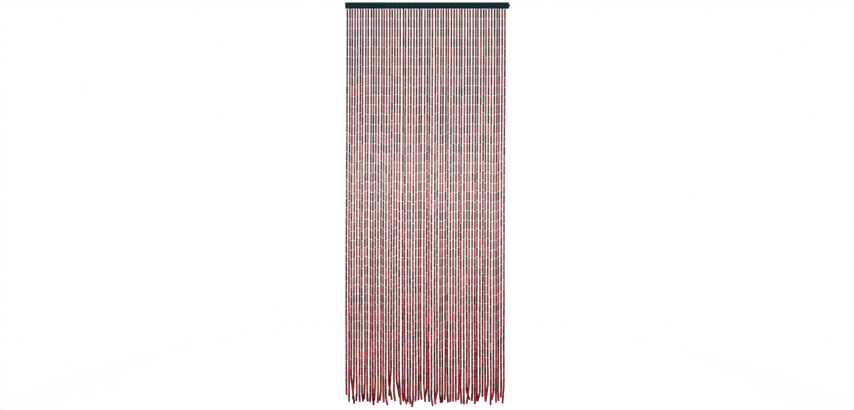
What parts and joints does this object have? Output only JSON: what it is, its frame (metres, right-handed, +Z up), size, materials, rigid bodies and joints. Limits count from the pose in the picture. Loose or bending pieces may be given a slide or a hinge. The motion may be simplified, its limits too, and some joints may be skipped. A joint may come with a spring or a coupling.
{
  "type": "bead curtain on a wooden rail",
  "caption": "Doorway bead curtain: strings of lacquered bamboo tube beads that hang from a dark grooved rail fixed flat to a wall or lintel.",
  "frame": {"origin": "on the rail's back face, at the middle of the rail's length and height", "axes": "+Z up, strands hang towards -Z; +Y into the wall, the curtain faces -Y; +X to the right seen from the front"},
  "size_m": [0.9106, 0.0258, 2.2337],
  "materials": {
    "rail_paint": "near-black teal paint, satin, faint wood grain",
    "lacquered_bamboo": "stained and lacquered bamboo, in wine, plum, brick, rust, olive and charcoal from bead to bead",
    "dark_peg": "black paint, satin",
    "link_wire": "thin plain steel wire",
    "strip_wood": "plain planed wood, dark stained"
  },
  "bodies": {
    "root": {"rail": "rail_paint", "strands": "lacquered_bamboo", "end_peg": "dark_peg"}
  },
  "joints": []
}
